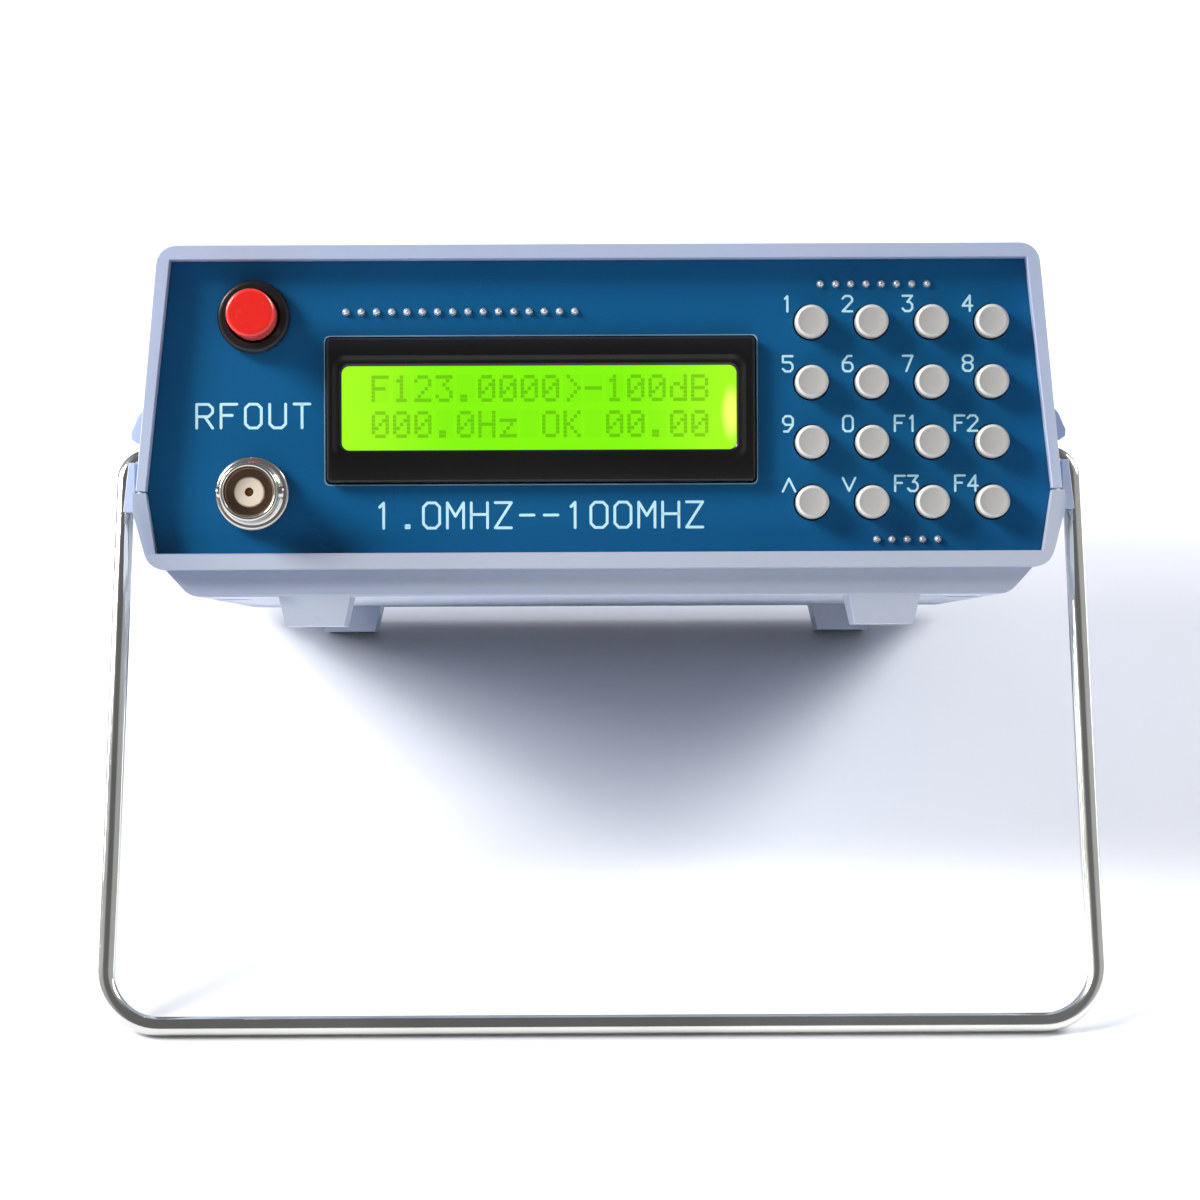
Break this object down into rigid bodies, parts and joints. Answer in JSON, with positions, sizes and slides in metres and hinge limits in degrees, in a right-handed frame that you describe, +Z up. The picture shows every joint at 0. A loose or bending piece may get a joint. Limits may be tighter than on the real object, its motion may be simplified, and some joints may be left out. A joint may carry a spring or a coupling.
{
  "type": "rf signal generator",
  "caption": "Bench RF signal generator in a lilac-grey plastic case with blue panel, backlit text display, round keys, BNC output and a wire bail as tilt stand.",
  "frame": {"origin": "centre of the bounding box on the table, standing tilted back on its folded-out bail", "axes": "+Z up from the table, +Y from the front panel towards the back, +X to the right seen from the front"},
  "size_m": [0.1658, 0.1866, 0.1141],
  "materials": {
    "case_plastic": "fine satin moulded ABS, lilac grey",
    "panel_blue": "blue solder resist on a printed board, satin gloss",
    "chrome": "bright chrome plate",
    "key_plastic": "light warm grey satin plastic",
    "red_plastic": "glossy red",
    "black_plastic": "glossy black",
    "black_metal": "black painted steel",
    "lcd_green": "backlit yellow-green display glass",
    "backlight_white": "milky diffuser",
    "board_green": "green printed board",
    "nickel": "bright nickel plate",
    "insulator_white": "ivory insulator",
    "gold": "gold plate",
    "tinplate": "tinned steel",
    "aluminium": "plain aluminium",
    "zinc_steel": "zinc plated steel"
  },
  "bodies": {
    "case": {"top_shell": "case_plastic", "bottom_shell": "case_plastic", "rear_panel": "case_plastic", "front_panel": "panel_blue", "supply_lead": "red_plastic", "power_switch": "black_plastic", "power_switch_nut": "black_plastic", "lcd_header": "black_plastic", "keypad_header": "black_plastic", "lower_header": "black_plastic", "microcontroller": "black_plastic", "voltage_regulator": "black_plastic", "smoothing_capacitor": "black_plastic", "supply_jack": "black_plastic", "coax_lead": "black_plastic", "lcd_frame": "black_metal", "lcd_glass": "lcd_green", "lcd_backlight": "backlight_white", "keypad_board": "board_green", "lcd_board": "board_green", "main_board": "board_green", "bnc_shell": "nickel", "bnc_nut": "nickel", "supply_jack_pin": "nickel", "supply_jack_nut": "nickel", "bnc_insulator": "insulator_white", "bnc_contact": "gold", "shield_can": "tinplate", "reference_oscillator": "tinplate", "heat_sink": "aluminium", "bnc_washer": "zinc_steel", "board_screw_1": "zinc_steel", "board_screw_2": "zinc_steel", "board_screw_3": "zinc_steel", "board_screw_4": "zinc_steel", "case_screw_1": "zinc_steel", "case_screw_2": "zinc_steel", "case_screw_3": "zinc_steel", "case_screw_4": "zinc_steel"},
    "bail": {"bail_handle": "chrome"},
    "power_button": {"power_button_cap": "red_plastic"},
    "key_1_body": {"key_1": "key_plastic"},
    "key_2_body": {"key_2": "key_plastic"},
    "key_3_body": {"key_3": "key_plastic"},
    "key_4_body": {"key_4": "key_plastic"},
    "key_5_body": {"key_5": "key_plastic"},
    "key_6_body": {"key_6": "key_plastic"},
    "key_7_body": {"key_7": "key_plastic"},
    "key_8_body": {"key_8": "key_plastic"},
    "key_9_body": {"key_9": "key_plastic"},
    "key_0_body": {"key_0": "key_plastic"},
    "key_f1_body": {"key_f1": "key_plastic"},
    "key_f2_body": {"key_f2": "key_plastic"},
    "key_up_body": {"key_up": "key_plastic"},
    "key_down_body": {"key_down": "key_plastic"},
    "key_f3_body": {"key_f3": "key_plastic"},
    "key_f4_body": {"key_f4": "key_plastic"}
  },
  "joints": [
    {"name": "bail_hinge", "type": "hinge", "parent": "case", "child": "bail", "pos_m": [0, -0.03065, 0.07645], "axis": [1, 0, 0], "range_deg": [0, 87]},
    {"name": "power_button_press", "type": "slide", "parent": "case", "child": "power_button", "axis": [0, 0.8989, -0.4382], "range_m": [0, 0.0025], "stiffness_N_per_m": 300},
    {"name": "key_1_press", "type": "slide", "parent": "case", "child": "key_1_body", "axis": [0, 0.8989, -0.4382], "range_m": [0, 0.0003], "stiffness_N_per_m": 500},
    {"name": "key_2_press", "type": "slide", "parent": "case", "child": "key_2_body", "axis": [0, 0.8989, -0.4382], "range_m": [0, 0.0003], "stiffness_N_per_m": 500},
    {"name": "key_3_press", "type": "slide", "parent": "case", "child": "key_3_body", "axis": [0, 0.8989, -0.4382], "range_m": [0, 0.0003], "stiffness_N_per_m": 500},
    {"name": "key_4_press", "type": "slide", "parent": "case", "child": "key_4_body", "axis": [0, 0.8989, -0.4382], "range_m": [0, 0.0003], "stiffness_N_per_m": 500},
    {"name": "key_5_press", "type": "slide", "parent": "case", "child": "key_5_body", "axis": [0, 0.8989, -0.4382], "range_m": [0, 0.0003], "stiffness_N_per_m": 500},
    {"name": "key_6_press", "type": "slide", "parent": "case", "child": "key_6_body", "axis": [0, 0.8989, -0.4382], "range_m": [0, 0.0003], "stiffness_N_per_m": 500},
    {"name": "key_7_press", "type": "slide", "parent": "case", "child": "key_7_body", "axis": [0, 0.8989, -0.4382], "range_m": [0, 0.0003], "stiffness_N_per_m": 500},
    {"name": "key_8_press", "type": "slide", "parent": "case", "child": "key_8_body", "axis": [0, 0.8989, -0.4382], "range_m": [0, 0.0003], "stiffness_N_per_m": 500},
    {"name": "key_9_press", "type": "slide", "parent": "case", "child": "key_9_body", "axis": [0, 0.8989, -0.4382], "range_m": [0, 0.0003], "stiffness_N_per_m": 500},
    {"name": "key_0_press", "type": "slide", "parent": "case", "child": "key_0_body", "axis": [0, 0.8989, -0.4382], "range_m": [0, 0.0003], "stiffness_N_per_m": 500},
    {"name": "key_f1_press", "type": "slide", "parent": "case", "child": "key_f1_body", "axis": [0, 0.8989, -0.4382], "range_m": [0, 0.0003], "stiffness_N_per_m": 500},
    {"name": "key_f2_press", "type": "slide", "parent": "case", "child": "key_f2_body", "axis": [0, 0.8989, -0.4382], "range_m": [0, 0.0003], "stiffness_N_per_m": 500},
    {"name": "key_up_press", "type": "slide", "parent": "case", "child": "key_up_body", "axis": [0, 0.8989, -0.4382], "range_m": [0, 0.0003], "stiffness_N_per_m": 500},
    {"name": "key_down_press", "type": "slide", "parent": "case", "child": "key_down_body", "axis": [0, 0.8989, -0.4382], "range_m": [0, 0.0003], "stiffness_N_per_m": 500},
    {"name": "key_f3_press", "type": "slide", "parent": "case", "child": "key_f3_body", "axis": [0, 0.8989, -0.4382], "range_m": [0, 0.0003], "stiffness_N_per_m": 500},
    {"name": "key_f4_press", "type": "slide", "parent": "case", "child": "key_f4_body", "axis": [0, 0.8989, -0.4382], "range_m": [0, 0.0003], "stiffness_N_per_m": 500}
  ]
}
